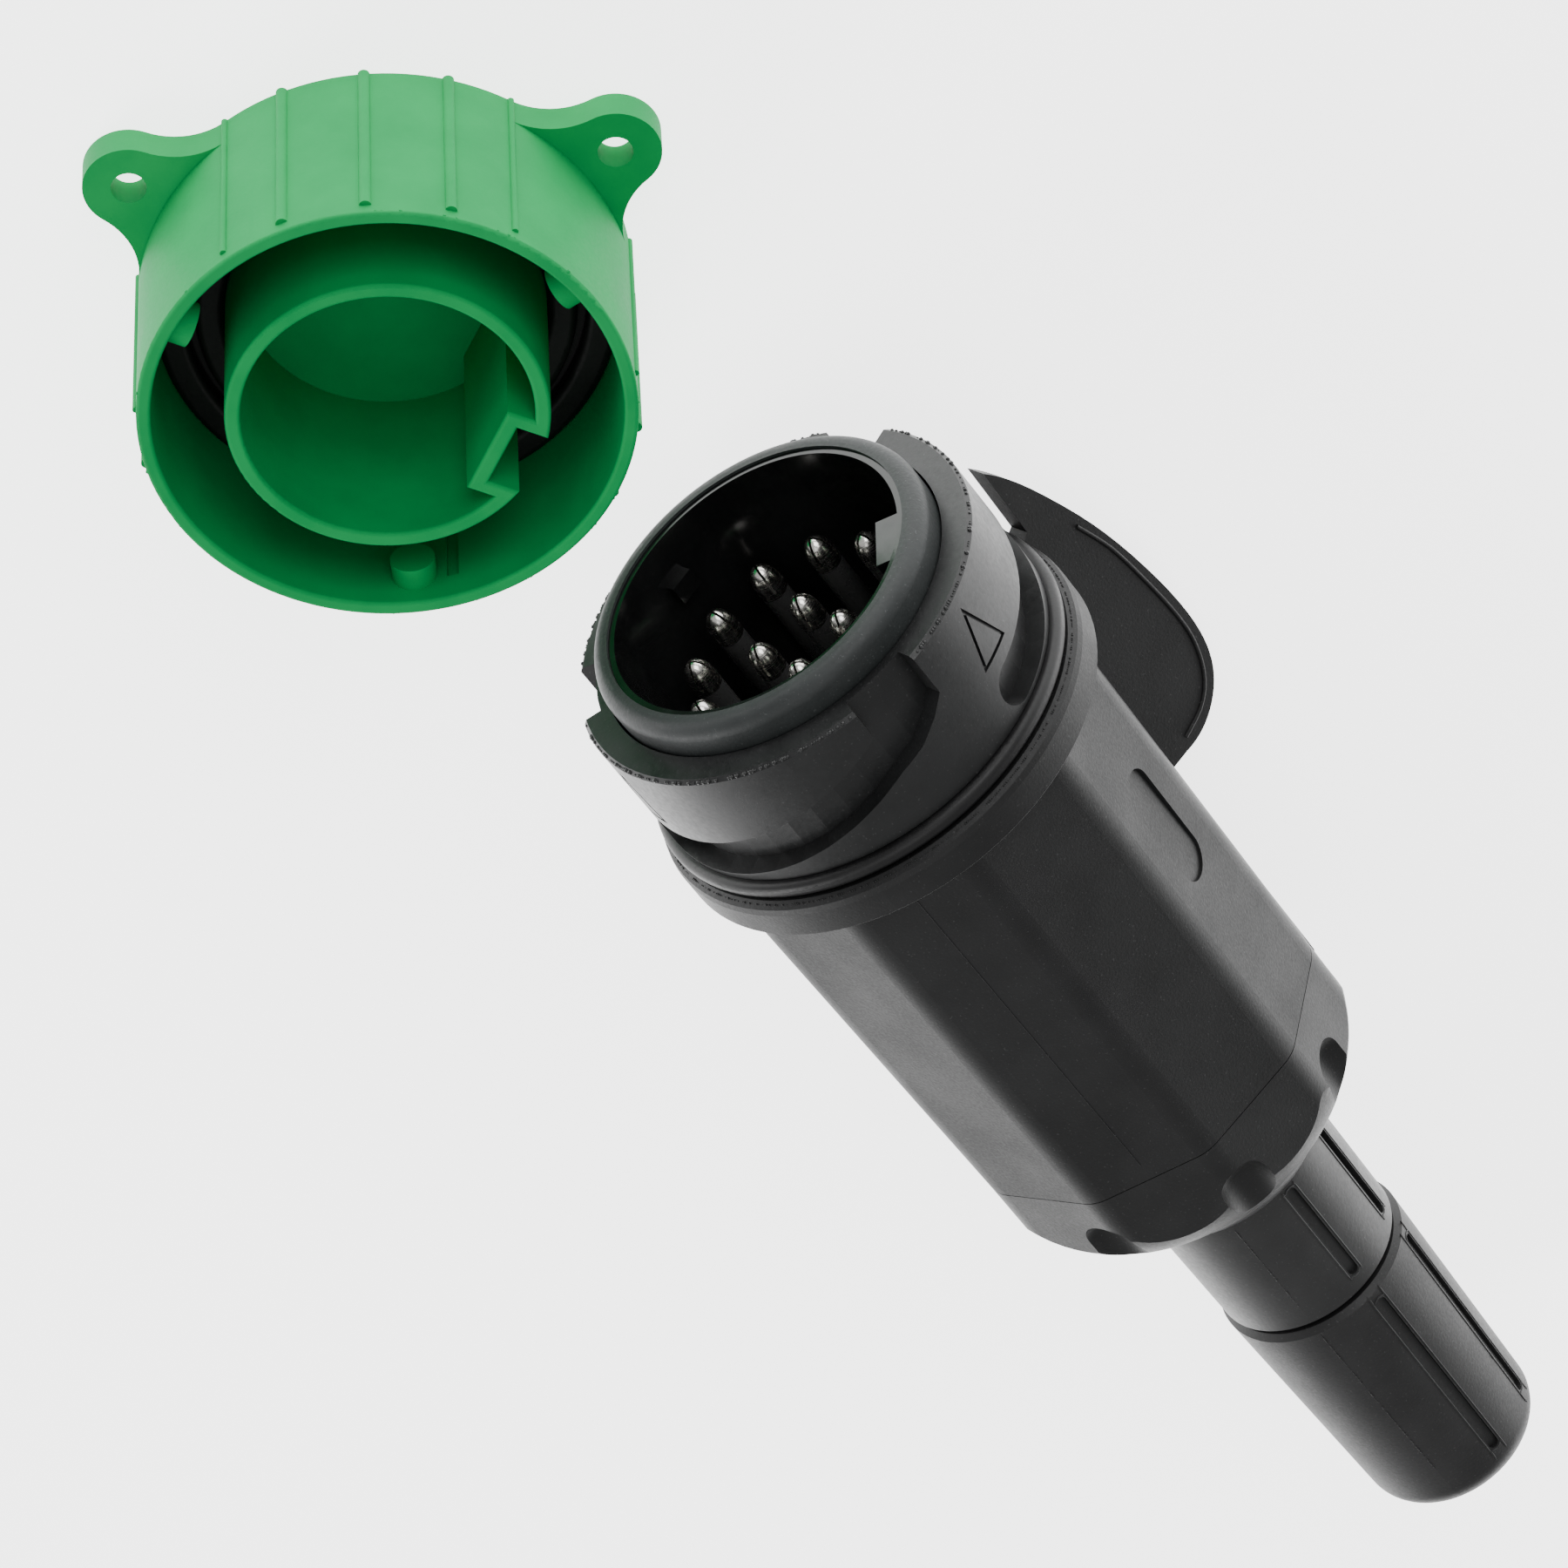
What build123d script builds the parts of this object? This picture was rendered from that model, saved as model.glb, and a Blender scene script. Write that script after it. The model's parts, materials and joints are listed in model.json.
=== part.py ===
from build123d import *
import os
from math import atan2, cos, pi, radians, sin, sqrt

# A thirteen-pin trailer plug lying beside its parking holder. Millimetres, +Z up, floor at z = 0.
#
# The holder stands on its closed base with its mouth up. The plug lies on the floor on the rear edge of its
# collar and on the flat of its rear cap, so its nose is a little high and its cable boot hangs free.
# On the plug, a station s is the distance behind the nose plane and r is the distance from the plug's axis.
# Angles round the plug start near +Y and turn towards "up"; round the holder they start at +X towards +Y.

# --- where the two things stand ---------------------------------------------------------------------------
holder_x, holder_y = 90.136, 12.894
nose_x, nose_y = holder_x - 40.0, holder_y - 23.8
plug_roll = -2.2

# --- plug: driving dimensions -----------------------------------------------------------------------------
cavity_radius = 18.8
sleeve_radius = 22.0
rim_radius, rim_length = 22.1, 5.2
ring_radius, ring_front, ring_rear = 26.1, 4.2, 22.4
ring_bore = 22.4
skirt_radius, skirt_end = 24.4, 26.0
collar_radius, collar_front, collar_rear = 28.2, 25.0, 30.4
collar_bore = 24.45
grip_front_radius, grip_rear_radius, grip_end = 26.0, 25.1, 88.6
grip_sides, first_corner = 10, -plug_roll
grip_bore_front, grip_bore_rear = 22.5, 21.5
seam_gap = 0.12
dome_start, dome_round, dome_shoulder = 94.0, 13.2, 11.4
spigot_radius, spigot_end = 9.8, 123.6
nut_front, nut_end, nut_radius, nut_flare = 107.3, 133.2, 12.6, 15.0
boot_front, boot_end, boot_front_radius, boot_end_radius = 133.7, 174.0, 12.75, 11.7
boot_end_round = 4.0
cable_radius = 5.25

# --- plug: contacts ---------------------------------------------------------------------------------------
carrier_front, carrier_rear = 29.0, 40.0
pin_tip, pin_radius, pin_stem_radius = 9.3, 1.75, 1.45
boss_front, boss_radius = 13.8, 1.72
outer_count, outer_circle, outer_first, outer_pitch = 9, 14.2, 229.0, 30.0
inner_count, inner_circle, inner_first = 4, 5.4, -4.0
barrel_radius, barrel_front = 2.5, 40.2
outer_barrel_end, inner_barrel_end = 52.0, 60.0
wire_hole_radius, screw_radius = 1.3, 1.2

# --- plug: bayonet slots ----------------------------------------------------------------------------------
slot_count, slot_floor, slot_width = 3, 23.6, 5.6
entry_near, entry_far, entry_depth = 111.5, 131.5, 15.0
slot_end_angle, slot_end = 30.0, 19.1

# --- plug: wing -------------------------------------------------------------------------------------------
wing_angle, wing_thickness = 222.0, 3.0

# --- parking holder ---------------------------------------------------------------------------------------
holder_height, holder_radius, mouth_radius = 27.0, 28.3, 26.65
core_radius, core_bore, floor_thickness = 18.4, 16.6, 1.8
keyway_angle, keyway_width, keyway_floor, keyway_wall = -145.5, 8.2, 14.1, 1.7
ear_middle, ear_spread, ear_circle = -27.5, 57.2, 32.9
ear_thickness, ear_radius, ear_hole_radius = 4.0, 5.3, 2.05
ear_blend, third_turn = 9.0, 120.0
rib_offsets, rib_radius, rib_top = [-19.5, 0, 19.5], 0.7, 25.4
seam_offsets, seam_radius = [-35, 35], 0.4
first_peg, peg_radius, peg_tip, peg_depth = 34.3, 2.6, 23.9, 4.9
holder_seal_top = 7.4

# --- the plug's frame: it lies on its collar's rear edge and on the end of the cap's lowest flat ----------
collar_rest = collar_rear - 0.4
dome_centre = grip_rear_radius - dome_round
flat_radius = grip_rear_radius * cos(pi / grip_sides)
flat_end = dome_start + sqrt(dome_round ** 2 - (flat_radius - dome_centre) ** 2)
tail_drop = atan2(collar_radius - flat_radius, flat_end - collar_rest)
nose_height = collar_radius * cos(tail_drop) + collar_rest * sin(tail_drop)
back = Vector(-cos(tail_drop), 0, -sin(tail_drop))
up = Vector(-sin(tail_drop), 0, cos(tail_drop))
nose = Vector(nose_x, nose_y, nose_height)
axle = Axis(nose, back)


def outward(angle):
    """Unit vector from the plug's axis at this angle round it."""
    turn = radians(angle + plug_roll)
    return Vector(0, 1, 0) * cos(turn) + up * sin(turn)


def station(s, angle=0.0):
    """Cross-section plane at station s, facing the nose, with its x axis at this angle."""
    return Plane(origin=nose + back * s, x_dir=outward(angle), z_dir=back * -1)


def leaf(angle=90.0):
    """Half-section plane through the plug's axis: x is the station s, y is the radius r."""
    return Plane(origin=nose, x_dir=back, z_dir=back.cross(outward(angle)))


def facing(angle, s, r, lean=0.0):
    """Plane that looks outward at this angle, station and radius, with x towards the tail.

    A lean in radians turns it to lie along a cone that narrows towards the tail.
    """
    out = outward(angle)
    along = back * cos(lean) - out * sin(lean)
    return Plane(origin=nose + back * s + out * r, x_dir=along, z_dir=out * cos(lean) + back * sin(lean))


# ============================================================================================================
# Insert: the sleeve, the carrier and the thirteen contacts. It turns inside the housing.
# ============================================================================================================

# Front sleeve: the tube round the contacts, its key rib and lug, and the flange that holds it in the plug.
flange_front, flange_rear, flange_radius = 26.3, 28.5, 24.0
sleeve_rear, sleeve_skirt_radius = 44.0, 21.6
groove_front, groove_rear, groove_floor = 11.8, 14.2, 20.6
lip_front, lip_radius = 0.35, 19.6
with BuildPart() as front_sleeve:
    with BuildSketch(leaf()):
        with BuildLine():
            Polyline(
                (lip_front, cavity_radius), (lip_front, lip_radius), (rim_length, lip_radius),
                (rim_length, sleeve_radius),
                (groove_front, sleeve_radius), (groove_front, groove_floor),
                (groove_rear, groove_floor), (groove_rear, sleeve_radius),
                (flange_front, sleeve_radius), (flange_front, flange_radius),
                (flange_rear, flange_radius), (flange_rear, sleeve_skirt_radius),
                (sleeve_rear, sleeve_skirt_radius), (sleeve_rear, cavity_radius), close=True,
            )
        make_face()
    revolve(axis=axle)
    with BuildSketch(station(2.6, 178.0)):
        with Locations((16.9, 0)):
            Rectangle(4.4, 7.2)
    extrude(amount=-(carrier_front - 3.0))
    with BuildSketch(station(5.4, 315.0)):
        with Locations((18.2, 0)):
            Rectangle(1.6, 3.2)
    extrude(amount=-2.6)
front_sleeve.part.label = "front_sleeve"
export_step(front_sleeve.part, "parts/front_sleeve.step")

# Rim seal: the soft rounded band round the sleeve's thin front lip.
with BuildPart() as rim_seal:
    with BuildSketch(leaf()):
        with BuildLine():
            Polyline(
                (0, lip_radius), (0, rim_radius), (rim_length, rim_radius), (rim_length, lip_radius),
                close=True,
            )
        make_face()
    revolve(axis=axle)
    fillet(rim_seal.faces().sort_by(axle)[0].edges().sort_by(SortBy.LENGTH)[-1], 1.9)
rim_seal.part.label = "rim_seal"
export_step(rim_seal.part, "parts/rim_seal.step")

# Sleeve O-ring, in the sleeve's groove.
with BuildPart() as sleeve_o_ring:
    with BuildSketch(leaf()):
        with Locations(((groove_front + groove_rear) / 2, 21.48)):
            Circle(0.86)
    revolve(axis=axle)
sleeve_o_ring.part.label = "sleeve_o_ring"
export_step(sleeve_o_ring.part, "parts/sleeve_o_ring.step")

# Contacts: nine on the outer circle, with a gap for the key, and four in a square inside it.
outer_angles = [outer_first + outer_pitch * k for k in range(outer_count)]
inner_angles = [inner_first + 360 / inner_count * k for k in range(inner_count)]
contacts = [(outer_circle, angle, outer_barrel_end) for angle in outer_angles]
contacts += [(inner_circle, angle, inner_barrel_end) for angle in inner_angles]
contact_places = [(r * cos(radians(a)), r * sin(radians(a))) for r, a, end in contacts]

# Contact carrier: the moulded disc that holds the contacts.
with BuildPart() as contact_carrier:
    with BuildSketch(station(carrier_front)):
        Circle(cavity_radius - 0.1)
        with Locations(contact_places):
            Circle(pin_stem_radius + 0.03, mode=Mode.SUBTRACT)
    extrude(amount=carrier_front - carrier_rear)
contact_carrier.part.label = "contact_carrier"
export_step(contact_carrier.part, "parts/contact_carrier.step")

# Contact sleeves: a black tube round the shaft of each contact, all in one node.
with BuildPart() as sleeve_tubes:
    with BuildSketch(station(boss_front)):
        with Locations(contact_places):
            Circle(boss_radius)
            Circle(pin_stem_radius + 0.03, mode=Mode.SUBTRACT)
    extrude(amount=boss_front - carrier_front + 0.02)
contact_sleeves = Compound(list(sleeve_tubes.part.solids()))
contact_sleeves.label = "contact_sleeves"
export_step(contact_sleeves, "parts/contact_sleeves.step")

# Each contact: a rounded tip with crossed slits, a stem through the carrier and a screw terminal behind.
tip_length, slit_length, slit_width = 2.9, 3.6, 0.3
for number, (circle, angle, barrel_end) in enumerate(contacts, start=1):
    contact_origin = nose + outward(angle) * circle
    contact_axis = Axis(contact_origin, back)
    screw_station = barrel_end - 3.2
    with BuildPart() as contact_pin:
        with BuildSketch(Plane(origin=contact_origin, x_dir=back, z_dir=leaf(angle).z_dir)):
            with BuildLine():
                EllipticalCenterArc((pin_tip + tip_length, 0), tip_length, pin_radius, 90, arc_size=90)
                Polyline(
                    (pin_tip, 0), (barrel_end, 0), (barrel_end, barrel_radius),
                    (barrel_front, barrel_radius), (barrel_front, pin_stem_radius),
                    (boss_front - 0.2, pin_stem_radius), (boss_front - 0.2, pin_radius),
                    (pin_tip + tip_length, pin_radius),
                )
            make_face()
        revolve(axis=contact_axis)
        with BuildSketch(Plane(origin=contact_origin + back * pin_tip, x_dir=outward(angle), z_dir=back)):
            Rectangle(2 * pin_radius + 1, slit_width)
            Rectangle(slit_width, 2 * pin_radius + 1)
        extrude(amount=slit_length, mode=Mode.SUBTRACT)
        with BuildSketch(Plane(origin=contact_origin + back * barrel_end, x_dir=outward(angle), z_dir=back)):
            Circle(wire_hole_radius)
        extrude(amount=-8.5, mode=Mode.SUBTRACT)
        with BuildSketch(facing(angle, screw_station, circle + wire_hole_radius - 0.5)):
            Circle(screw_radius + 0.02)
        extrude(amount=barrel_radius, mode=Mode.SUBTRACT)
    contact_pin.part.label = f"contact_pin_{number:02d}"
    export_step(contact_pin.part, f"parts/contact_pin_{number:02d}.step")

# Terminal screws: one in the side of each contact's barrel, all in one node.
screw_bodies = []
for circle, angle, barrel_end in contacts:
    screw_station = barrel_end - 3.2
    with BuildPart() as terminal_screw:
        with BuildSketch(facing(angle, screw_station, circle + 0.9)):
            Circle(screw_radius)
        extrude(amount=2.1)
        with BuildSketch(facing(angle, screw_station, circle + 3.0)):
            Rectangle(2 * screw_radius + 1, 0.45)
        extrude(amount=-0.7, mode=Mode.SUBTRACT)
    screw_bodies.append(terminal_screw.part.solid())
terminal_screws = Compound(screw_bodies)
terminal_screws.label = "terminal_screws"
export_step(terminal_screws, "parts/terminal_screws.step")

# ============================================================================================================
# Housing: what the hand turns to lock the plug.
# ============================================================================================================

# Locking ring: three slots lead the socket's pegs in from the front and round under the lands.
def slot_section(angle, front, rear):
    """Half-section of a slot at this angle, from its floor to clear outside the ring."""
    with BuildSketch(leaf(angle)) as section:
        with BuildLine():
            Polyline((front, slot_floor), (rear, slot_floor), (rear, 29), (front, 29), close=True)
        make_face()
    return section.sketch


ramp_steps, ramp_bend = 9, 2.2
ramp_rear_end = slot_end + slot_width / 2
ramp_sections = []
for step in range(ramp_steps + 1):
    travel = step / ramp_steps
    rear = entry_depth + (ramp_rear_end - entry_depth) * (1 - (1 - travel) ** ramp_bend)
    front = rear - slot_width - 0.7 * (1 - travel)
    ramp_sections.append(slot_section(entry_near + (slot_end_angle - entry_near) * travel, front, rear))
entry_sections = [
    slot_section(entry_far, 0, 10.5), slot_section(entry_far - 5, 0, 12.3),
    slot_section(entry_far - 12, 0, 14.1), slot_section(entry_near, 0, entry_depth),
]
with BuildPart() as slot_cutter:
    loft(sections=entry_sections, ruled=True)
    loft(sections=ramp_sections, ruled=True)
    with BuildSketch(facing(slot_end_angle, slot_end, slot_floor)):
        Circle(slot_width / 2)
    extrude(amount=5)

arrow_angle, arrow_station, arrow_length, arrow_width = 151.0, 10.4, 8.2, 5.8
with BuildPart() as locking_ring:
    with BuildSketch(leaf()):
        with BuildLine():
            Polyline(
                (ring_front, ring_bore), (ring_front, ring_radius - 0.5),
                (ring_front + 0.5, ring_radius), (ring_rear, ring_radius),
                (ring_rear, skirt_radius), (skirt_end, skirt_radius), (skirt_end, ring_bore), close=True,
            )
        make_face()
    revolve(axis=axle)
    for turn in range(slot_count):
        add(slot_cutter.part.rotate(axle, turn * 360 / slot_count), mode=Mode.SUBTRACT)
        with BuildSketch(facing(arrow_angle + turn * 360 / slot_count, arrow_station, ring_radius - 0.45)):
            with BuildLine():
                Polyline(
                    (-arrow_length / 2, 0), (arrow_length / 2, arrow_width / 2),
                    (arrow_length / 2, -arrow_width / 2), close=True,
                )
            make_face()
            offset(amount=-0.45, mode=Mode.SUBTRACT)
        extrude(amount=2, mode=Mode.SUBTRACT)
locking_ring.part.label = "locking_ring"
export_step(locking_ring.part, "parts/locking_ring.step")

# Collar gasket: the rubber bead between the locking ring and the collar.
gasket_radius = 27.3
with BuildPart() as collar_gasket:
    with BuildSketch(leaf()):
        with Locations(((ring_rear + 0.1 + collar_front - 0.3) / 2, (collar_bore + gasket_radius) / 2)):
            RectangleRounded(collar_front - ring_rear - 0.4, gasket_radius - collar_bore, 0.9)
    revolve(axis=axle)
collar_gasket.part.label = "collar_gasket"
export_step(collar_gasket.part, "parts/collar_gasket.step")


def grip_section(s, radius):
    """The grip's ten-sided outline at station s, with soft corners."""
    with BuildSketch(station(s, first_corner)) as outline:
        RegularPolygon(radius, grip_sides)
        fillet(outline.vertices(), 5)
    return outline.sketch


# Clip ring: the split ring behind the sleeve's flange, sprung into the housing's groove.
clip_front, clip_rear, clip_groove = 28.8, 30.0, 25.3
with BuildPart() as clip_ring:
    with BuildSketch(station(clip_front)):
        Circle(clip_groove - 0.05)
        Circle(ring_bore + 0.1, mode=Mode.SUBTRACT)
    extrude(amount=clip_front - clip_rear)
    with BuildSketch(station(clip_front, 60.0)):
        with Locations((clip_groove - 1, 0)):
            Rectangle(8, 5)
    extrude(amount=clip_front - clip_rear, mode=Mode.SUBTRACT)
clip_ring.part.label = "clip_ring"
export_step(clip_ring.part, "parts/clip_ring.step")

# Grip housing: collar, ten-sided grip and the wing, hollow all the way through.
thumb_angle, thumb_station, thumb_floor = first_corner + 162.0, 54.0, 23.9
thumb_length, thumb_width = 18.0, 6.0
with BuildPart() as grip_housing:
    with BuildSketch(leaf()):
        with BuildLine():
            Polyline(
                (collar_front, 20), (collar_front, collar_radius - 1.1),
                (collar_front + 0.7, collar_radius - 0.2), (collar_front + 1.5, collar_radius),
                (collar_rear - 0.4, collar_radius), (collar_rear, collar_radius - 0.4),
                (collar_rear, 20), close=True,
            )
        make_face()
    revolve(axis=axle)
    loft(sections=[
        grip_section(collar_rear - 1, grip_front_radius), grip_section(grip_end, grip_rear_radius),
    ])
    with BuildSketch(leaf(wing_angle)):
        with BuildLine():
            Spline(
                (15.2, 29.4), (19.0, 31.6), (24.0, 33.6), (34.0, 36.6), (43.0, 38.2), (51.0, 38.9),
                (56.0, 38.7), (61.0, 37.2), (64.6, 33.8), (66.0, 28.0),
            )
            Polyline((66.0, 28.0), (66.0, 23.6), (28.0, 23.6), (25.8, 29.2), (15.2, 29.4))
        make_face()
    extrude(amount=wing_thickness / 2, both=True)
    with BuildSketch(leaf()):
        with BuildLine():
            Polyline(
                (collar_front - 1, 0), (collar_front - 1, collar_bore), (clip_front - 0.05, collar_bore),
                (clip_front - 0.05, clip_groove), (clip_rear + 0.05, clip_groove),
                (clip_rear + 0.05, grip_bore_front), (60, grip_bore_front), (79, grip_bore_rear),
                (grip_end + 1, grip_bore_rear), (grip_end + 1, 0), close=True,
            )
        make_face()
    revolve(axis=axle, mode=Mode.SUBTRACT)
    # a plain thumb recess in the middle of one flat
    with BuildSketch(facing(thumb_angle, thumb_station, thumb_floor)):
        SlotOverall(thumb_length, thumb_width)
    extrude(amount=4, mode=Mode.SUBTRACT)
grip_housing.part.label = "grip_housing"
export_step(grip_housing.part, "parts/grip_housing.step")

# Rear cap: closes the housing with a dome and carries the gland's spigot.
cap_front = grip_end + seam_gap
seal_front, seal_rear, seal_bore = 108.1, 119.9, 8.0
scallop_start, scallop_circle, scallop_radius = 97.2, 24.9, 3.4
with BuildPart() as dome_shape:
    with BuildSketch(leaf()):
        with BuildLine():
            dome = CenterArc((dome_start, dome_centre), dome_round, dome_shoulder, 90 - dome_shoulder)
            Polyline(
                dome @ 0, (nut_front - 0.1, nut_flare - 1.0), (nut_front - 0.1, 0),
                (cap_front, 0), (cap_front, grip_rear_radius), dome @ 1,
            )
        make_face()
    revolve(axis=axle)
with BuildPart() as rear_cap:
    loft(sections=[grip_section(cap_front, grip_rear_radius), grip_section(nut_front, grip_rear_radius)])
    add(dome_shape.part, mode=Mode.INTERSECT)
    with BuildSketch(station(scallop_start)):
        with PolarLocations(scallop_circle, 8, start_angle=22.5):
            Circle(scallop_radius)
    extrude(amount=scallop_start - nut_front - 3, mode=Mode.SUBTRACT)
    for k in range(8):
        scallop_end = nose + back * scallop_start + outward(22.5 + 45 * k) * scallop_circle
        with Locations(scallop_end):
            Sphere(scallop_radius, mode=Mode.SUBTRACT)
    with BuildSketch(leaf()):
        with BuildLine():
            Polyline(
                (80, 18), (80, grip_bore_rear - 0.1), (cap_front, grip_bore_rear - 0.1),
                (cap_front + 2, 18), close=True,
            )
        make_face()
    revolve(axis=axle)
    with BuildSketch(leaf()):
        with BuildLine():
            Polyline((106, 0), (106, spigot_radius), (spigot_end, spigot_radius), (spigot_end, 0), close=True)
        make_face()
    revolve(axis=axle)
    with BuildSketch(leaf()):
        with BuildLine():
            Polyline(
                (79, 0), (79, 19.4), (93, 19.4), (102.5, 11), (102.5, 6.2), (seal_front - 0.1, 6.2),
                (seal_front - 0.1, seal_bore), (spigot_end + 1, seal_bore), (spigot_end + 1, 0), close=True,
            )
        make_face()
    revolve(axis=axle, mode=Mode.SUBTRACT)
rear_cap.part.label = "rear_cap"
export_step(rear_cap.part, "parts/rear_cap.step")


def turned(name, points):
    """A turned part from its half-section, given as (station, radius) points."""
    with BuildPart() as piece:
        with BuildSketch(leaf()):
            with BuildLine():
                Polyline(*points, close=True)
            make_face()
        revolve(axis=axle)
    piece.part.label = name
    export_step(piece.part, f"parts/{name}.step")


# Cable seal: the rubber bush that the gland squeezes onto the cable.
turned("cable_seal", [
    (seal_front, cable_radius), (seal_front, seal_bore - 0.05),
    (seal_rear, seal_bore - 0.05), (seal_rear, cable_radius),
])

# ============================================================================================================
# Gland: the thrust ring slides, the nut and its boot turn on it.
# ============================================================================================================

# Thrust ring: slides back with the nut and presses the seal.
thrust_bore, thrust_nose, thrust_head = 5.7, 7.6, 9.6
head_front, head_rear = spigot_end + 0.3, 126.8
turned("thrust_ring", [
    (seal_rear + 0.1, thrust_bore), (seal_rear + 0.1, thrust_nose), (head_front, thrust_nose),
    (head_front, thrust_head), (head_rear, thrust_head), (head_rear, thrust_bore),
])

# Gland nut: the slotted neck behind the dome.
nut_bore, boot_plug_radius, boot_plug_front = 10.15, 6.9, 127.4
slot_angles = [128.0, 172.0, 308.0, 352.0]
with BuildPart() as gland_nut:
    with BuildSketch(leaf()):
        with BuildLine():
            Line((nut_front, nut_bore), (nut_front, nut_flare))
            RadiusArc((nut_front, nut_flare), (nut_front + 4.6, nut_radius), 6.5)
            Polyline(
                (nut_front + 4.6, nut_radius), (nut_end - 0.6, nut_radius - 0.3), (nut_end, nut_radius - 0.9),
                (nut_end, boot_plug_radius + 0.02), (head_rear + 0.1, boot_plug_radius + 0.02),
                (head_rear + 0.1, nut_bore), (nut_front, nut_bore),
            )
        make_face()
    revolve(axis=axle)
    for angle in slot_angles:
        with BuildSketch(facing(angle, 121.5, nut_radius - 0.9)):
            SlotOverall(17.5, 1.5)
        extrude(amount=3, mode=Mode.SUBTRACT)
gland_nut.part.label = "gland_nut"
export_step(gland_nut.part, "parts/gland_nut.step")

# Cable boot: the bend relief, plugged into the nut, with the cable's bore through it.
boot_lean = atan2(boot_front_radius - boot_end_radius, boot_end - boot_end_round - boot_front)
boot_slot_floor = (boot_front_radius + boot_end_radius) / 2 - 0.55
with BuildPart() as cable_boot:
    with BuildSketch(leaf()):
        with BuildLine():
            Polyline(
                (boot_end - boot_end_round, boot_end_radius), (boot_front + 0.7, boot_front_radius),
                (boot_front, boot_front_radius - 0.8), (boot_front, boot_plug_radius),
                (boot_plug_front, boot_plug_radius), (boot_plug_front, cable_radius),
                (boot_end, cable_radius), (boot_end, boot_end_radius - boot_end_round),
            )
            TangentArc(
                (boot_end - boot_end_round, boot_end_radius), (boot_end, boot_end_radius - boot_end_round),
                tangent=(1, 0),
            )
        make_face()
    revolve(axis=axle)
    for angle in slot_angles:
        with BuildSketch(facing(angle, 152.0, boot_slot_floor, boot_lean)):
            SlotOverall(32.5, 1.5)
        extrude(amount=4, mode=Mode.SUBTRACT)
cable_boot.part.label = "cable_boot"
export_step(cable_boot.part, "parts/cable_boot.step")

# ============================================================================================================
# Parking holder
# ============================================================================================================


def holder_plane(height, angle=0.0):
    """Horizontal plane on the holder's axis at this height, with its x axis at this angle."""
    turn = radians(angle)
    return Plane(origin=(holder_x, holder_y, height), x_dir=(cos(turn), sin(turn), 0), z_dir=(0, 0, 1))


def holder_facing(angle, height, radius):
    """Plane that looks outward from the holder's axis, with x upwards."""
    turn = radians(angle)
    out = Vector(cos(turn), sin(turn), 0)
    return Plane(origin=Vector(holder_x, holder_y, height) + out * radius, x_dir=(0, 0, 1), z_dir=out)


ear_angles = [ear_middle - ear_spread, ear_middle + ear_spread, ear_middle + 180]
third_turns = [ear_middle + third_turn * k for k in range(3)]
with BuildPart() as holder_body:
    # closed base with the three screw ears
    with BuildSketch(holder_plane(0)) as ear_plate:
        Circle(holder_radius)
        for angle in ear_angles:
            with PolarLocations(ear_circle, 1, start_angle=angle):
                Circle(ear_radius)
        fillet(ear_plate.vertices(), ear_blend)
    extrude(amount=ear_thickness)
    # outer wall with its ribs
    with BuildSketch(holder_plane(0)):
        Circle(holder_radius)
    extrude(amount=holder_height)
    with BuildSketch(holder_plane(0)):
        for middle in third_turns:
            for rib_offset in rib_offsets:
                with PolarLocations(holder_radius - 0.1, 1, start_angle=middle + rib_offset):
                    Circle(rib_radius)
            for seam_offset in seam_offsets:
                with PolarLocations(holder_radius, 1, start_angle=middle + seam_offset):
                    Circle(seam_radius)
    extrude(amount=rib_top)
    # the space that takes the plug's ring, round the core
    with BuildSketch(holder_plane(floor_thickness)):
        Circle(mouth_radius)
    extrude(amount=holder_height, mode=Mode.SUBTRACT)
    # core, with the keyway let into its side
    with BuildSketch(holder_plane(floor_thickness - 0.5)):
        Circle(core_radius)
    extrude(amount=holder_height - floor_thickness + 0.5)
    with BuildSketch(holder_plane(floor_thickness)):
        Circle(core_bore)
    extrude(amount=holder_height, mode=Mode.SUBTRACT)
    with BuildSketch(holder_plane(floor_thickness - 0.5, keyway_angle)):
        with Locations(((keyway_floor + core_radius) / 2 - keyway_wall / 2 - 0.6, 0)):
            Rectangle(core_radius - keyway_floor + keyway_wall - 0.8, keyway_width + 2 * keyway_wall)
    extrude(amount=holder_height - floor_thickness + 0.5)
    with BuildSketch(holder_plane(floor_thickness, keyway_angle)):
        with Locations((keyway_floor + 3, 0)):
            Rectangle(6, keyway_width)
    extrude(amount=holder_height, mode=Mode.SUBTRACT)
    fillet(holder_body.faces().sort_by(Axis.Z)[-2:].edges(), 0.45)
    # a drain slit in the wall, beside the third peg
    with BuildSketch(holder_plane(holder_seal_top + 1.5, first_peg + third_turn + 9.5)):
        with Locations((mouth_radius, 0)):
            Rectangle(1.2, 1.4)
    extrude(amount=holder_height - holder_seal_top - 5.5, mode=Mode.SUBTRACT)
    # three pegs that run in the plug's slots
    for turn in (0, third_turn, 2 * third_turn):
        with BuildSketch(holder_facing(first_peg + turn, holder_height - peg_depth, peg_tip)):
            Circle(peg_radius)
        extrude(amount=mouth_radius - peg_tip + 0.5)
    # screw holes through the ears
    with BuildSketch(holder_plane(0)):
        for angle in ear_angles:
            with PolarLocations(ear_circle, 1, start_angle=angle):
                Circle(ear_hole_radius)
    extrude(amount=ear_thickness, mode=Mode.SUBTRACT)
holder_body.part.label = "holder_body"
export_step(holder_body.part, "parts/holder_body.step")

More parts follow.
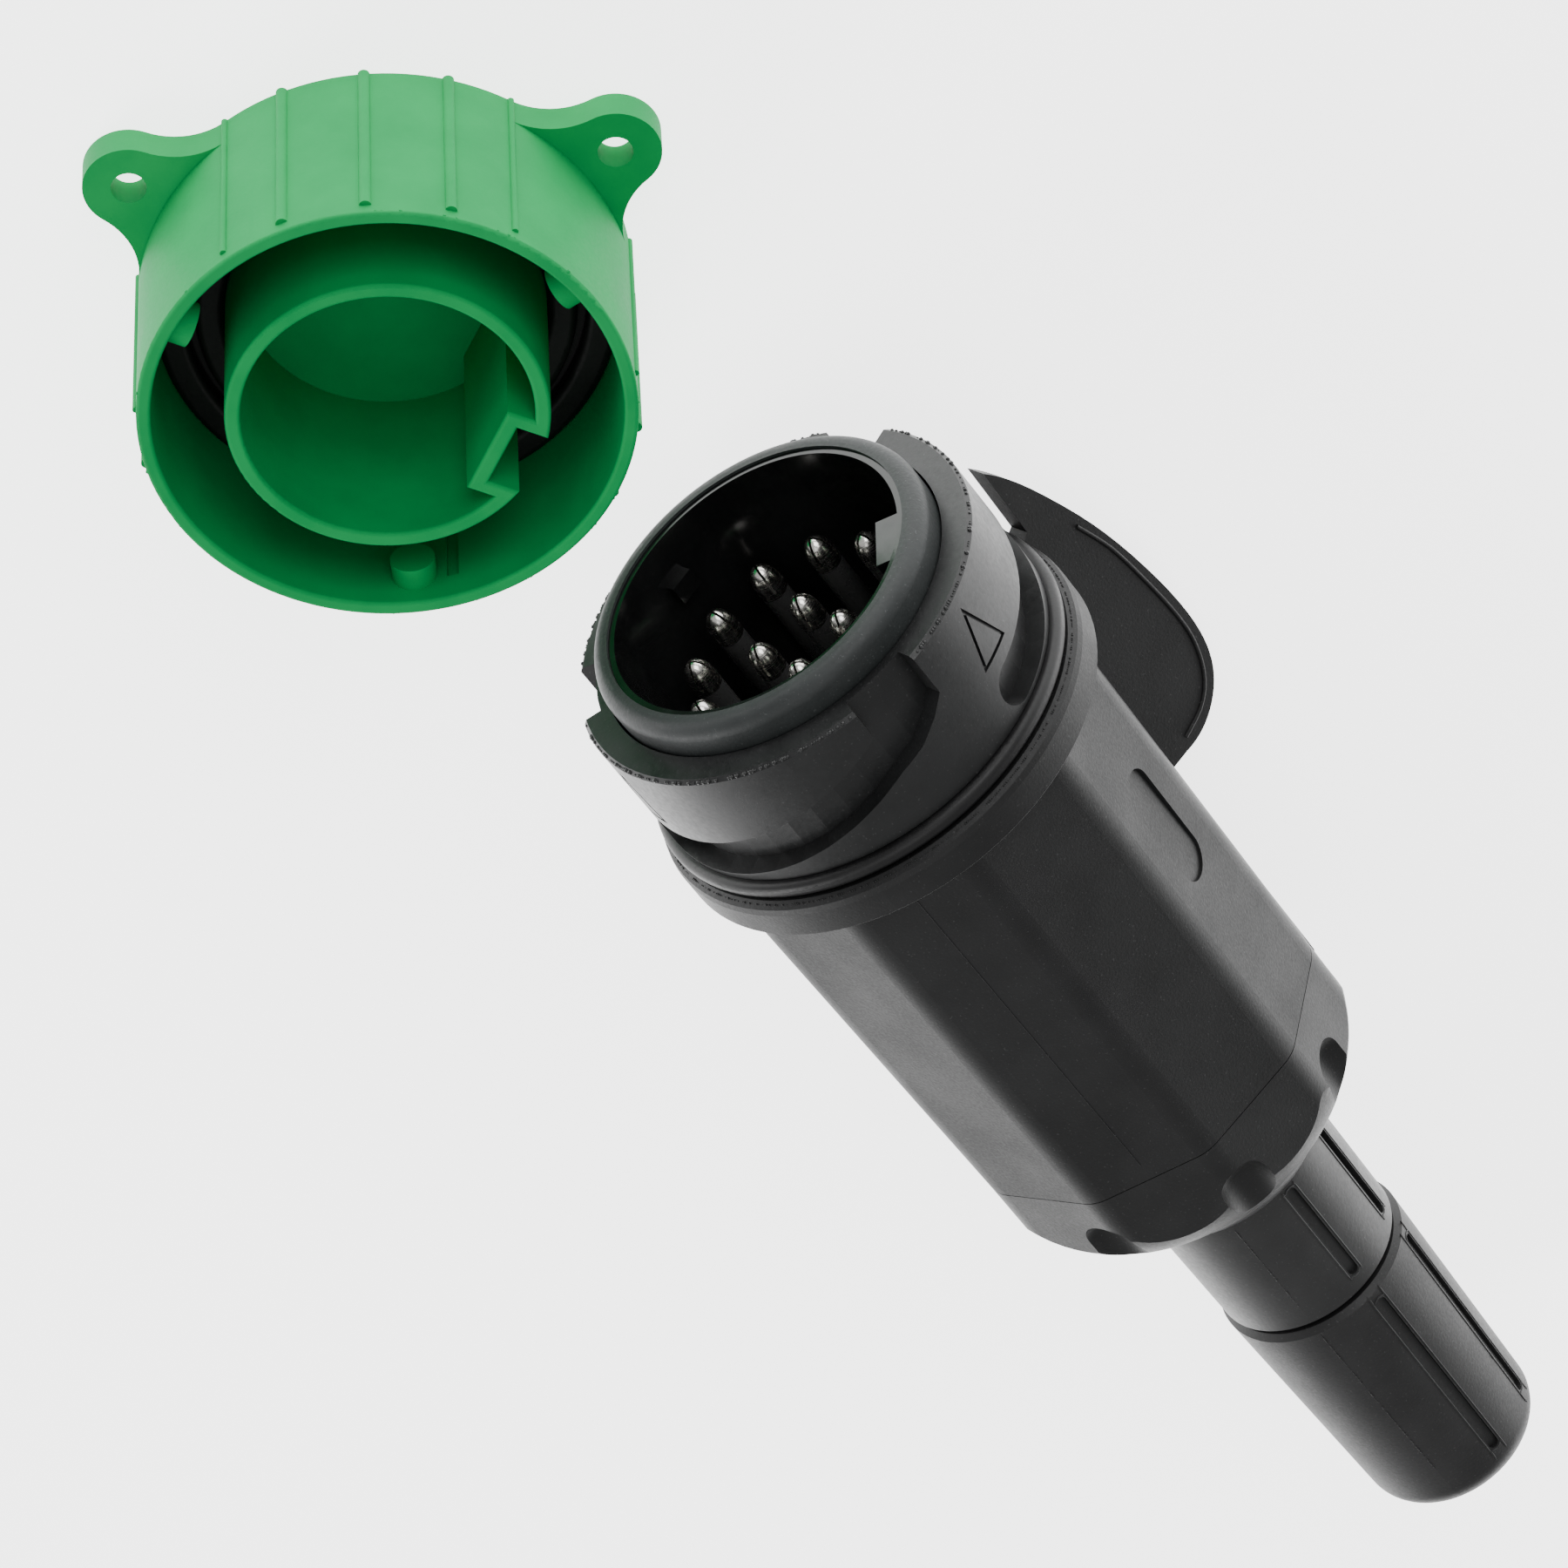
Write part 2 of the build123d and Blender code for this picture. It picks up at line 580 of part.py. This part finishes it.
# Holder seal: the rubber ring with two beads at the bottom of the space round the core.
seal_base_top, seal_split = 5.2, 22.4
with BuildPart() as holder_seal:
    with BuildSketch(holder_plane(floor_thickness)):
        Circle(mouth_radius - 0.1)
        Circle(core_radius + 0.1, mode=Mode.SUBTRACT)
    extrude(amount=seal_base_top - floor_thickness)
    with BuildSketch(holder_plane(seal_base_top - 0.2)):
        Circle(mouth_radius - 0.1)
        Circle(seal_split + 0.5, mode=Mode.SUBTRACT)
        Circle(seal_split - 0.5)
        Circle(core_radius + 0.1, mode=Mode.SUBTRACT)
    extrude(amount=holder_seal_top - seal_base_top + 0.2)
    fillet(holder_seal.faces().sort_by(Axis.Z)[-2:].edges(), 0.9)
holder_seal.part.label = "holder_seal"
export_step(holder_seal.part, "parts/holder_seal.step")
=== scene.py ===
# %% [markdown]
# # A thirteen-pin trailer plug beside its parking holder
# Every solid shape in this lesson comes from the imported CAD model, in metres, already in its place. The
# lesson sets up the camera and the light, gives each surface its finish, and adds the small marks that
# moulding leaves and that a CAD model has no use for. The frame is loaded first because every later cell
# measures from it.

# %% Load the frame
import json
from math import atan2, cos, degrees, pi, radians, sin

import bmesh
import bpy
from mathutils import Euler, Matrix, Vector


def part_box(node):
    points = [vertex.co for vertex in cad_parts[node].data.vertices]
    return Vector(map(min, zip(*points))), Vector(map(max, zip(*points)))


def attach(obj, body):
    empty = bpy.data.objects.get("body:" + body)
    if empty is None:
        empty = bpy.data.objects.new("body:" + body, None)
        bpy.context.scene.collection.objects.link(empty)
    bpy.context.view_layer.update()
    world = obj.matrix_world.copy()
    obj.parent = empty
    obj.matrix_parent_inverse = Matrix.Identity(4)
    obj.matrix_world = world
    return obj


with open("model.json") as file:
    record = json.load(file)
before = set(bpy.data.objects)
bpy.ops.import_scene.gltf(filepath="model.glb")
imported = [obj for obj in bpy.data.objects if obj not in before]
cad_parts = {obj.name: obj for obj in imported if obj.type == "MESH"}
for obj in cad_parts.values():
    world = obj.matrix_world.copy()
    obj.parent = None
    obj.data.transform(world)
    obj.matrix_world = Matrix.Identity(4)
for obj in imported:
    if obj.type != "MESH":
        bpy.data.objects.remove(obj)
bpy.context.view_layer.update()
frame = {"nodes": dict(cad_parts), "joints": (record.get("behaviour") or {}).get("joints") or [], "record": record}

nodes = frame["nodes"]
print("CAD nodes:", len(nodes))

# %% [markdown]
# The plug leans a little, so its details are placed in the plug's own terms: a station counted back from the
# nose, a radius, and an angle round the axis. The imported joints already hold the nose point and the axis, so
# they are read from the record and not typed in again.

# %% Read the plug's axis and the holder's axis
MM = 0.001
joints = {joint["name"]: joint for joint in frame["joints"]}
nose = Vector(joints["insert_turn"]["pos_m"])
backward = Vector(joints["insert_turn"]["axis"]).normalized()
upward = Vector((0, 1, 0)).cross(backward).normalized()
if upward.z < 0:
    upward.negate()
plug_roll = -2.2


def plug_direction(angle):
    """Outward direction at this angle round the plug, in degrees."""
    turn = radians(angle + plug_roll)
    return Vector((0, 1, 0)) * cos(turn) + upward * sin(turn)


def plug_point(station, radius, angle):
    """Point on the plug from its station, radius (both in millimetres) and angle."""
    return nose + backward * (station * MM) + plug_direction(angle) * (radius * MM)


seal_low, seal_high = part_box("holder_seal")
holder_axis = (seal_low + seal_high) / 2
holder_axis.z = 0
print("plug leans", round(degrees(atan2(-backward.z, -backward.x)), 2), "degrees; holder at", holder_axis)

# %% [markdown]
# A long lens from a good distance keeps the two round shapes from stretching. The camera is rolled over so
# that the holder stands at the top left and the cable boot points to the bottom right.

# %% Camera
camera_data = bpy.data.cameras.new("camera")
camera_data.sensor_width = 36
camera_data.lens = 200
camera_data.clip_start, camera_data.clip_end = 0.05, 20
camera = bpy.data.objects.new("camera", camera_data)
bpy.context.scene.collection.objects.link(camera)
bpy.context.scene.camera = camera
camera_tilt, camera_bank, camera_heading = -39.3554, -2.5023, -120.9094
camera_turn = Euler([radians(angle) for angle in (camera_tilt, camera_bank, camera_heading)])
camera_place = holder_axis + Vector((0.500607, -0.311737, 0.812188))
camera.matrix_world = Matrix.Translation(camera_place) @ camera_turn.to_matrix().to_4x4()
print("camera stands at", [round(v, 3) for v in camera_place])

# %% [markdown]
# The floor is one broad pale sheet that glows a little, like a light table, so that it stays pale round black
# things. The light is a studio's: an even surround, a soft panel beside the holder, one along the plug's
# flank that draws the long soft sheen down its flats, and a weak one overhead.

# %% Floor
floor_mesh = bpy.data.meshes.new("floor")
floor_mesh.from_pydata([(-6, -6, 0), (6, -6, 0), (6, 6, 0), (-6, 6, 0)], [], [(0, 1, 2, 3)])
floor = bpy.data.objects.new("floor", floor_mesh)
floor.location.z = -0.0002
bpy.context.scene.collection.objects.link(floor)
floor_finish = bpy.data.materials.new("pale_floor")
floor_finish.use_nodes = True
floor_shader = floor_finish.node_tree.nodes["Principled BSDF"]
floor_shader.inputs["Base Color"].default_value = (0.95, 0.95, 0.95, 1)
floor_shader.inputs["Roughness"].default_value = 0.85
floor_shader.inputs["Specular IOR Level"].default_value = 0.1
floor_shader.inputs["Emission Color"].default_value = (1, 1, 1, 1)
floor_shader.inputs["Emission Strength"].default_value = 3.0
floor_mesh.materials.append(floor_finish)

# %% Lights
world = bpy.data.worlds.new("studio")
bpy.context.scene.world = world
world.use_nodes = True
world.node_tree.nodes["Background"].inputs["Color"].default_value = (1, 1, 1, 1)
world.node_tree.nodes["Background"].inputs["Strength"].default_value = 0.6


def soft_panel(name, place, size, watts, aim):
    """A square area light at this place, facing the aim point."""
    data = bpy.data.lights.new(name, "AREA")
    data.shape = "SQUARE"
    data.size = size
    data.energy = watts
    panel = bpy.data.objects.new(name, data)
    panel.location = place
    panel.rotation_mode = "QUATERNION"
    panel.rotation_quaternion = (Vector(aim) - Vector(place)).to_track_quat("-Z", "Y")
    bpy.context.scene.collection.objects.link(panel)


soft_panel("holder_side_panel", (1.1, -0.7, 0.75), 0.8, 9, (0, 0, 0.02))
soft_panel("flank_panel", (-0.35, 1.2, 0.65), 0.7, 14, (-0.03, 0, 0.02))
soft_panel("overhead_panel", (0.1, -0.1, 1.5), 1.2, 6, (0, 0, 0))

# %% [markdown]
# Moulded plastic is never quite even. The tool that forms it is spark-eroded, which leaves a fine grain. The
# melt cools unevenly, which leaves slow changes in sheen, and handling leaves paler rubbed spots and dust.
# One helper builds all of the plastics and rubbers here from those layers, with the sizes as its arguments.

# %% A finish with grain, sheen and specks
patch_size, speck_size = 9.0, 0.3


def moulded(name, colour, rough, grain=0.35, depth=0.02, speck=0.0, tint=0.12, spec=0.5):
    """Plastic or rubber: grain is its size and depth its height in mm, speck the share of pale specks, tint
    how far the colour drifts from patch to patch and spec the strength of its reflection."""
    finish = bpy.data.materials.new(name)
    finish.use_nodes = True
    tree = finish.node_tree
    shader = tree.nodes["Principled BSDF"]
    place = tree.nodes.new("ShaderNodeTexCoord")

    def noise(size_mm, detail, roughness=0.55):
        node = tree.nodes.new("ShaderNodeTexNoise")
        node.inputs["Scale"].default_value = 1000 / size_mm
        node.inputs["Detail"].default_value = detail
        node.inputs["Roughness"].default_value = roughness
        tree.links.new(place.outputs["Object"], node.inputs["Vector"])
        return node.outputs["Fac"]

    def spread(value, low, high, out_low, out_high):
        node = tree.nodes.new("ShaderNodeMapRange")
        node.inputs["From Min"].default_value = low
        node.inputs["From Max"].default_value = high
        node.inputs["To Min"].default_value = out_low
        node.inputs["To Max"].default_value = out_high
        tree.links.new(value, node.inputs["Value"])
        return node.outputs["Result"]

    # slow colour change over the moulding, and pale specks of dust and wear
    patches = noise(patch_size, 3)
    shade = tree.nodes.new("ShaderNodeMix")
    shade.data_type = "RGBA"
    shade.inputs["A"].default_value = (*[c * (1 - tint) for c in colour], 1)
    shade.inputs["B"].default_value = (*[min(1, c * (1 + tint) + 0.002) for c in colour], 1)
    tree.links.new(spread(patches, 0.35, 0.65, 0, 1), shade.inputs["Factor"])
    colour_out = shade.outputs["Result"]
    if speck:
        dust = spread(noise(speck_size, 1, 0.3), 0.72 - speck, 0.76 - speck, 0, 1)
        dusty = tree.nodes.new("ShaderNodeMix")
        dusty.data_type = "RGBA"
        dusty.inputs["B"].default_value = (*[min(1, c * 1.5 + 0.015) for c in colour], 1)
        tree.links.new(dust, dusty.inputs["Factor"])
        tree.links.new(colour_out, dusty.inputs["A"])
        colour_out = dusty.outputs["Result"]
    tree.links.new(colour_out, shader.inputs["Base Color"])
    # roughness follows the patches and the grain together
    grain_out = noise(grain, 2)
    blend = tree.nodes.new("ShaderNodeMath")
    blend.operation = "MULTIPLY_ADD"
    blend.inputs[1].default_value = 0.5
    tree.links.new(patches, blend.inputs[0])
    half_grain = tree.nodes.new("ShaderNodeMath")
    half_grain.operation = "MULTIPLY"
    half_grain.inputs[1].default_value = 0.5
    tree.links.new(grain_out, half_grain.inputs[0])
    tree.links.new(half_grain.outputs[0], blend.inputs[2])
    roughness = spread(blend.outputs[0], 0.35, 0.65, rough - 0.07, rough + 0.07)
    tree.links.new(roughness, shader.inputs["Roughness"])
    # the grain itself
    bump = tree.nodes.new("ShaderNodeBump")
    bump.inputs["Strength"].default_value = 1.0
    bump.inputs["Distance"].default_value = depth * MM
    tree.links.new(grain_out, bump.inputs["Height"])
    tree.links.new(bump.outputs["Normal"], shader.inputs["Normal"])
    shader.inputs["Specular IOR Level"].default_value = spec
    return finish


black, grey = (0.006, 0.0062, 0.0064), (0.03, 0.03, 0.03)
plastics = {
    "green_plastic": ((0.0, 0.25, 0.062), 0.6, dict(grain=0.5, depth=0.006, tint=0.06, spec=0.05)),
    "black_grained_plastic": (black, 0.52, dict(depth=0.024, speck=0.006, spec=0.26)),
    "black_cap_plastic": (black, 0.48, dict(depth=0.024, speck=0.006, spec=0.3)),
    "black_satin_plastic": ((0.006, 0.0064, 0.0066), 0.4,
                            dict(grain=0.6, depth=0.014, speck=0.004, spec=0.36)),
    "black_gloss_plastic": ((0.004, 0.0042, 0.0044), 0.16, dict(grain=2, depth=0.01, spec=0.45)),
    "carrier_plastic": (grey, 0.3, dict(grain=1, depth=0.01)),
    "thrust_plastic": ((0.01, 0.01, 0.01), 0.4, dict(spec=0.3)),
    "black_nut_plastic": ((0.011, 0.0112, 0.0114), 0.42,
                          dict(grain=0.5, depth=0.018, speck=0.005, spec=0.42)),
}
rubbers = {
    # the rim rubber is near black; its slight green-blue tint is a painted reflection of the green holder beside
    # it
    "soft_rim_rubber": ((0.014, 0.0165, 0.0165), 0.52, dict(grain=0.45, depth=0.03, speck=0.01, spec=0.3)),
    "black_rubber": ((0.006, 0.006, 0.006), 0.5, dict(spec=0.3)),
    "gasket_rubber": ((0.003, 0.003, 0.0033), 0.45, dict(depth=0.01, spec=0.3)),
    "seal_rubber": ((0.006, 0.006, 0.006), 0.6, dict(spec=0.3)),
    "boot_rubber": ((0.009, 0.009, 0.0093), 0.5, dict(grain=0.4, depth=0.02, speck=0.008, spec=0.32)),
    "holder_rubber": ((0.003, 0.003, 0.0032), 0.5, dict(grain=0.6, depth=0.02, spec=0.25)),
}
finishes = {}
for slot, (colour, rough, extra) in (plastics | rubbers).items():
    finishes[slot] = moulded(slot, colour, rough, **extra)
print("plastics and rubbers:", len(finishes))

# %% [markdown]
# The contacts are turned brass with a bright nickel plate. The lathe leaves rings round them, so the
# roughness changes quickly along the length. The steel screws and the clip ring are duller.

# %% Metal finishes
def plated(name, colour, rough, ring_mm):
    """Turned and plated metal with fine rings along the plug's axis."""
    finish = bpy.data.materials.new(name)
    finish.use_nodes = True
    tree = finish.node_tree
    shader = tree.nodes["Principled BSDF"]
    shader.inputs["Metallic"].default_value = 1
    place = tree.nodes.new("ShaderNodeTexCoord")
    turned = tree.nodes.new("ShaderNodeMapping")
    turned.inputs["Rotation"].default_value = (0, atan2(backward.z, -backward.x), 0)
    turned.inputs["Scale"].default_value = (1000 / ring_mm, 300, 300)
    tree.links.new(place.outputs["Object"], turned.inputs["Vector"])
    rings = tree.nodes.new("ShaderNodeTexNoise")
    rings.inputs["Scale"].default_value = 1
    rings.inputs["Detail"].default_value = 2
    tree.links.new(turned.outputs["Vector"], rings.inputs["Vector"])
    sheen = tree.nodes.new("ShaderNodeMapRange")
    sheen.inputs["From Min"].default_value = 0.3
    sheen.inputs["From Max"].default_value = 0.7
    sheen.inputs["To Min"].default_value = rough - 0.06
    sheen.inputs["To Max"].default_value = rough + 0.1
    tree.links.new(rings.outputs["Fac"], sheen.inputs["Value"])
    tree.links.new(sheen.outputs["Result"], shader.inputs["Roughness"])
    tarnish = tree.nodes.new("ShaderNodeMix")
    tarnish.data_type = "RGBA"
    tarnish.inputs["A"].default_value = (*[c * 0.8 for c in colour], 1)
    tarnish.inputs["B"].default_value = (*colour, 1)
    tree.links.new(rings.outputs["Fac"], tarnish.inputs["Factor"])
    tree.links.new(tarnish.outputs["Result"], shader.inputs["Base Color"])
    bump = tree.nodes.new("ShaderNodeBump")
    bump.inputs["Distance"].default_value = 0.006 * MM
    tree.links.new(rings.outputs["Fac"], bump.inputs["Height"])
    tree.links.new(bump.outputs["Normal"], shader.inputs["Normal"])
    return finish


finishes["nickel_contact"] = plated("nickel_contact", (0.74, 0.72, 0.68), 0.2, 0.12)
finishes["nickel_screws"] = plated("nickel_screws", (0.6, 0.6, 0.58), 0.35, 0.2)
finishes["spring_steel"] = plated("spring_steel", (0.5, 0.5, 0.5), 0.35, 0.3)
print("finishes in all:", len(finishes))

# %% Give every CAD node its finish
for entry in frame["record"]["subparts"]:
    cad = nodes[entry["node"]]
    cad.data.materials.clear()
    cad.data.materials.append(finishes[entry["material_slot"]])

# %% [markdown]
# Where two halves of a mould meet, a little plastic creeps into the joint. It leaves thin raised lines and
# rows of tiny crumbs. Both follow a path, so Geometry Nodes make them: one tree runs a thin round bead along
# the path, and the other scatters small lumps along it from a fixed seed.

# %% Node tree for a bead along a path
def new_tree(name, sizes):
    """Empty tree with a Path input, these named sizes in metres, a Finish input and one output."""
    tree = bpy.data.node_groups.new(name, "GeometryNodeTree")
    tree.interface.new_socket("Path", in_out="INPUT", socket_type="NodeSocketGeometry")
    for label in sizes:
        tree.interface.new_socket(label, in_out="INPUT", socket_type="NodeSocketFloat")
    tree.interface.new_socket("Finish", in_out="INPUT", socket_type="NodeSocketMaterial")
    tree.interface.new_socket("Result", in_out="OUTPUT", socket_type="NodeSocketGeometry")
    return tree, tree.nodes.new("NodeGroupInput"), tree.nodes.new("NodeGroupOutput")


def smooth_path(tree, source):
    """The path as a smooth curve with a point every Spacing."""
    curve = tree.nodes.new("GeometryNodeMeshToCurve")
    smooth = tree.nodes.new("GeometryNodeCurveSplineType")
    smooth.spline_type = "CATMULL_ROM"
    evenly = tree.nodes.new("GeometryNodeResampleCurve")
    evenly.mode = "LENGTH"
    tree.links.new(source.outputs["Path"], curve.inputs[0])
    tree.links.new(curve.outputs[0], smooth.inputs["Curve"])
    tree.links.new(smooth.outputs[0], evenly.inputs["Curve"])
    tree.links.new(source.outputs["Spacing"], evenly.inputs["Length"])
    return evenly.outputs[0]


def finish_tree(tree, source, sink, geometry):
    """Realize Instances and Set Material, which every tree ends in."""
    real = tree.nodes.new("GeometryNodeRealizeInstances")
    paint = tree.nodes.new("GeometryNodeSetMaterial")
    tree.links.new(geometry, real.inputs[0])
    tree.links.new(real.outputs[0], paint.inputs["Geometry"])
    tree.links.new(source.outputs["Finish"], paint.inputs["Material"])
    tree.links.new(paint.outputs[0], sink.inputs["Result"])


bead_tree, source, sink = new_tree("bead_along_path", ["Bead radius", "Spacing"])
profile = bead_tree.nodes.new("GeometryNodeCurvePrimitiveCircle")
profile.inputs["Resolution"].default_value = 6
bead_tree.links.new(source.outputs["Bead radius"], profile.inputs["Radius"])
tube = bead_tree.nodes.new("GeometryNodeCurveToMesh")
tube.inputs["Fill Caps"].default_value = True
bead_tree.links.new(smooth_path(bead_tree, source), tube.inputs["Curve"])
bead_tree.links.new(profile.outputs["Curve"], tube.inputs["Profile Curve"])
finish_tree(bead_tree, source, sink, tube.outputs[0])
print("bead tree nodes:", len(bead_tree.nodes))

# %% Node tree for crumbs along a path
crumb_seed = 11
crumb_tree, source, sink = new_tree("crumbs_along_path", ["Smallest", "Largest", "Share", "Spacing"])
lump = crumb_tree.nodes.new("GeometryNodeMeshIcoSphere")
lump.inputs["Radius"].default_value = 1
lump.inputs["Subdivisions"].default_value = 1
size = crumb_tree.nodes.new("FunctionNodeRandomValue")
size.data_type = "FLOAT"
keep = crumb_tree.nodes.new("FunctionNodeRandomValue")
keep.data_type = "BOOLEAN"
for node, offset in ((size, 0), (keep, 1)):
    next(i for i in node.inputs if i.name == "Seed").default_value = crumb_seed + offset
low, high = [i for i in size.inputs if i.enabled and i.name in ("Min", "Max")]
crumb_tree.links.new(source.outputs["Smallest"], low)
crumb_tree.links.new(source.outputs["Largest"], high)
chance = next(i for i in keep.inputs if i.enabled and i.name == "Probability")
crumb_tree.links.new(source.outputs["Share"], chance)
scatter = crumb_tree.nodes.new("GeometryNodeInstanceOnPoints")
crumb_tree.links.new(smooth_path(crumb_tree, source), scatter.inputs["Points"])
crumb_tree.links.new(lump.outputs["Mesh"], scatter.inputs["Instance"])
crumb_tree.links.new(next(o for o in size.outputs if o.enabled), scatter.inputs["Scale"])
crumb_tree.links.new(next(o for o in keep.outputs if o.enabled), scatter.inputs["Selection"])
finish_tree(crumb_tree, source, sink, scatter.outputs[0])
print("crumb tree nodes:", len(crumb_tree.nodes))


# %% Turn paths into one plain mesh that rides on a body
def along_paths(name, paths, tree, sizes, slot, body, closed=False):
    """Runs the tree on these paths (lists of points) and leaves a plain mesh on the body."""
    points, edges = [], []
    for path in paths:
        first = len(points)
        points += [tuple(p) for p in path]
        edges += [(first + k, first + k + 1) for k in range(len(path) - 1)]
        if closed:
            edges.append((first + len(path) - 1, first))
    guide_mesh = bpy.data.meshes.new(name + "_guide")
    guide_mesh.from_pydata(points, edges, [])
    guide = bpy.data.objects.new(name + "_guide", guide_mesh)
    bpy.context.scene.collection.objects.link(guide)
    modifier = guide.modifiers.new("nodes", "NODES")
    modifier.node_group = tree
    sockets = {i.name: i.identifier for i in tree.interface.items_tree if i.in_out == "INPUT"}
    for label, value in sizes.items():
        modifier[sockets[label]] = value * MM if label != "Share" else value
    modifier[sockets["Finish"]] = finishes[slot]
    depsgraph = bpy.context.evaluated_depsgraph_get()
    made = bpy.data.meshes.new_from_object(guide.evaluated_get(depsgraph))
    bpy.data.objects.remove(guide)
    shape = bmesh.new()
    shape.from_mesh(made)
    bmesh.ops.recalc_face_normals(shape, faces=shape.faces)
    shape.to_mesh(made)
    inside = shape.calc_volume(signed=True) / MM ** 3
    shape.free()
    made.materials.clear()
    made.materials.append(finishes[slot])
    piece = bpy.data.objects.new(name, made)
    bpy.context.scene.collection.objects.link(piece)
    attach(piece, body)
    print(name, "faces:", len(made.polygons), "volume in cubic mm:", round(inside, 3))


# %% [markdown]
# The grip's mould line runs down the middle of one flat. The wing has a thin raised band just inside its
# edge, on both faces, which stiffens it.

# %% Mould line and wing band
grip_start, grip_length = 29.4, 59.2
grip_corner, grip_narrowing = 26.0, 0.9
flat_count = 10


def grip_flat(station):
    """Distance from the axis to the middle of a flat, where the grip narrows towards the tail."""
    corner = grip_corner - grip_narrowing * (station - grip_start) / grip_length
    return corner * cos(pi / flat_count)


mould_line_angle = 92.2
mould_line = [plug_point(s, grip_flat(s), mould_line_angle) for s in range(32, 87, 6)]
along_paths("grip_mould_line", [mould_line], bead_tree, {"Bead radius": 0.07, "Spacing": 2},
            "black_grained_plastic", "housing")

wing_angle, wing_half = 222.0, 1.5
wing_edge = [(31.0, 34.5), (37.0, 36.2), (44.0, 37.1), (51.0, 37.6),
             (56.0, 37.3), (60.5, 35.7), (63.2, 33.0), (64.4, 29.0)]
wing_side = plug_direction(wing_angle + 90) * (wing_half * MM)
bands = [[plug_point(s, r, wing_angle) + wing_side * face for s, r in wing_edge] for face in (-1, 1)]
along_paths("wing_band", bands, bead_tree, {"Bead radius": 0.3, "Spacing": 1.2},
            "black_grained_plastic", "housing")

# %% [markdown]
# The locking ring's lands and the collar were cut from their runners by hand, which leaves their front edges
# rough. The holder's mouth has a few bumps of the same kind.

# %% Crumbs along the sharp edges
def plug_arc(station, radius, start, end, step=4):
    """Points round the plug's axis between two angles."""
    count = int((end - start) / step) + 1
    return [plug_point(station, radius, start + (end - start) * k / count) for k in range(count + 1)]


ring_front, ring_radius = 4.5, 25.9
land_start, land_end, land_step = 133, 230, 120
lands = []
for turn in range(3):
    shift = land_step * turn
    lands.append(plug_arc(ring_front, ring_radius, land_start + shift, land_end + shift))
along_paths("ring_crumbs", lands, crumb_tree,
            {"Smallest": 0.1, "Largest": 0.32, "Share": 0.6, "Spacing": 0.35},
            "black_satin_plastic", "housing")

collar_front, collar_radius = 25.3, 27.5
along_paths("collar_crumbs", [plug_arc(collar_front, collar_radius, 0, 356)], crumb_tree,
            {"Smallest": 0.06, "Largest": 0.16, "Share": 0.7, "Spacing": 0.28},
            "black_grained_plastic", "housing", True)

mouth_radius, mouth_drop = 28.2, 0.5
mouth_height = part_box("holder_body")[1].z - mouth_drop * MM
mouth_edge = []
for angle in range(0, 360, 5):
    outward = Vector((mouth_radius * cos(radians(angle)), mouth_radius * sin(radians(angle)), 0))
    mouth_edge.append(holder_axis + outward * MM + Vector((0, 0, mouth_height)))
along_paths("mouth_crumbs", [mouth_edge], crumb_tree,
            {"Smallest": 0.08, "Largest": 0.3, "Share": 0.12, "Spacing": 0.7},
            "green_plastic", "holder", True)

# %% [markdown]
# The nut and the boot share one parting line, a close row of fine crumbs, and each of their grooves has a
# fine raised lip round it. The lip is a bead, because it is even where the parting line is rough.

# %% Parting line
nut_start, nut_length, nut_front_radius, nut_narrowing = 111.9, 20.7, 12.6, 0.3
boot_start, boot_length, boot_front_radius, boot_narrowing = 134.4, 35.6, 12.75, 1.05
seam_station = 133.5


def neck_radius(station):
    """Outer radius of the nut up to its end, then of the boot, which narrows towards the tail."""
    if station < seam_station:
        return nut_front_radius - nut_narrowing * (station - nut_start) / nut_length
    return boot_front_radius - boot_narrowing * (station - boot_start) / boot_length


parting_angle = 90.0
parting_crumbs = {"Smallest": 0.05, "Largest": 0.15, "Share": 0.85, "Spacing": 0.25}
parting = [[plug_point(s, neck_radius(s), parting_angle) for s in stations]
           for stations in (range(113, 133, 4), range(135, 170, 5))]
along_paths("nut_parting_line", parting[:1], crumb_tree, parting_crumbs, "black_nut_plastic", "nut")
along_paths("boot_parting_line", parting[1:], crumb_tree, parting_crumbs, "boot_rubber", "nut")

# %% Lips round the grooves
groove_end_radius, lip_reach = 0.75, 1.05


def groove_lip(middle, length, angle):
    """Closed outline with round ends round a groove, given its middle station, its length and its angle."""
    half = length / 2 - groove_end_radius
    outline = []
    for end, first in ((half, -90), (-half, 90)):
        for turn in range(first, first + 181, 30):
            outline.append((end + lip_reach * cos(radians(turn)), lip_reach * sin(radians(turn))))
    lip = []
    for along, across in outline:
        radius = neck_radius(middle + along)
        lip.append(plug_point(middle + along, radius, angle + degrees(across / radius)))
    return lip


groove_angles = (128.0, 172.0, 308.0, 352.0)
lip_bead = {"Bead radius": 0.12, "Spacing": 0.6}
nut_groove_middle, nut_groove_length = 121.5, 17.5
boot_groove_middle, boot_groove_length = 152.0, 32.5
nut_lips = [groove_lip(nut_groove_middle, nut_groove_length, angle) for angle in groove_angles]
boot_lips = [groove_lip(boot_groove_middle, boot_groove_length, angle) for angle in groove_angles]
along_paths("nut_groove_lips", nut_lips, bead_tree, lip_bead, "black_nut_plastic", "nut", True)
along_paths("boot_groove_lips", boot_lips, bead_tree, lip_bead, "boot_rubber", "nut", True)
